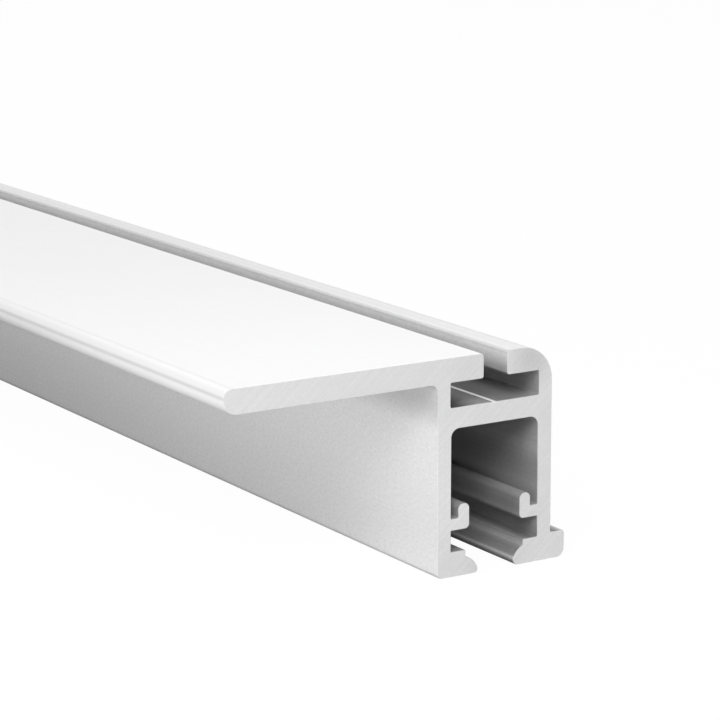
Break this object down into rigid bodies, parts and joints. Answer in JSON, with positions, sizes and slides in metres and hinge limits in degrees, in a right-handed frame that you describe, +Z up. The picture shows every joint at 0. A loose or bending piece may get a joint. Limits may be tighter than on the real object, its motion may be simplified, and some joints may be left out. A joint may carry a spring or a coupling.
{
  "type": "picture rail",
  "caption": "Straight extruded ceiling-edge picture rail with a board flange, an open-bottomed hanging channel with inner hooks, and a cleat slot on top.",
  "frame": {"origin": "centre line of the hanging slot, at mid-length, in the plane of the feet", "axes": "+Y along the length, away from the end the picture shows; +Z up; +X from the board flange towards the wall foot"},
  "size_m": [0.0497, 2, 0.0282],
  "materials": {
    "coated_aluminium": "satin"
  },
  "bodies": {
    "root": {"rail_profile": "coated_aluminium"}
  },
  "joints": []
}
